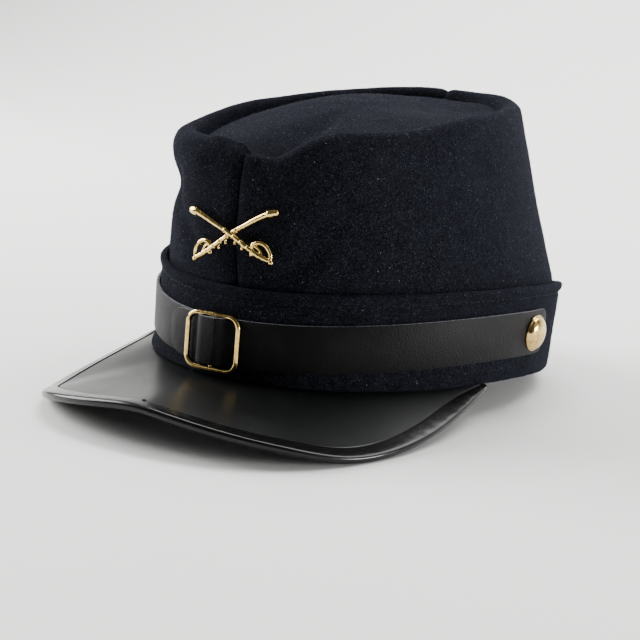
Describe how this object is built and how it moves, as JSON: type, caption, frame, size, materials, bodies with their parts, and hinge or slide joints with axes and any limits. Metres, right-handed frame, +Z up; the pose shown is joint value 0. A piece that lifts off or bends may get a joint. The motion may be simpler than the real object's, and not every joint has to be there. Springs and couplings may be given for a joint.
{
  "type": "kepi cap",
  "caption": "Wool kepi with a slanted crown, sunken top, cloth band, bound leather peak, buckled chin strap, side buttons and a crossed-sabres badge.",
  "frame": {"origin": "middle of the footprint, on the surface that the cap rests on", "axes": "+Z up, front towards -Y, the wearer's left towards +X; the cap leans back 4.6 degrees as it rests on its hem's back and the peak's corners"},
  "size_m": [0.1744, 0.265, 0.1239],
  "materials": {
    "navy_wool": "napped, matt",
    "black_leather": "smooth, semi-gloss",
    "glossy_black_leather": "glossy",
    "brass": "polished",
    "gilt_metal": "polished gilt"
  },
  "bodies": {
    "root": {"band": "navy_wool", "crown_left": "navy_wool", "crown_right": "navy_wool", "crown_top": "navy_wool", "peak": "black_leather", "peak_binding": "glossy_black_leather", "strap_long": "black_leather", "strap_short": "black_leather", "buckle": "brass", "button_left": "brass", "button_right": "brass", "sabre_badge": "gilt_metal"}
  },
  "joints": []
}
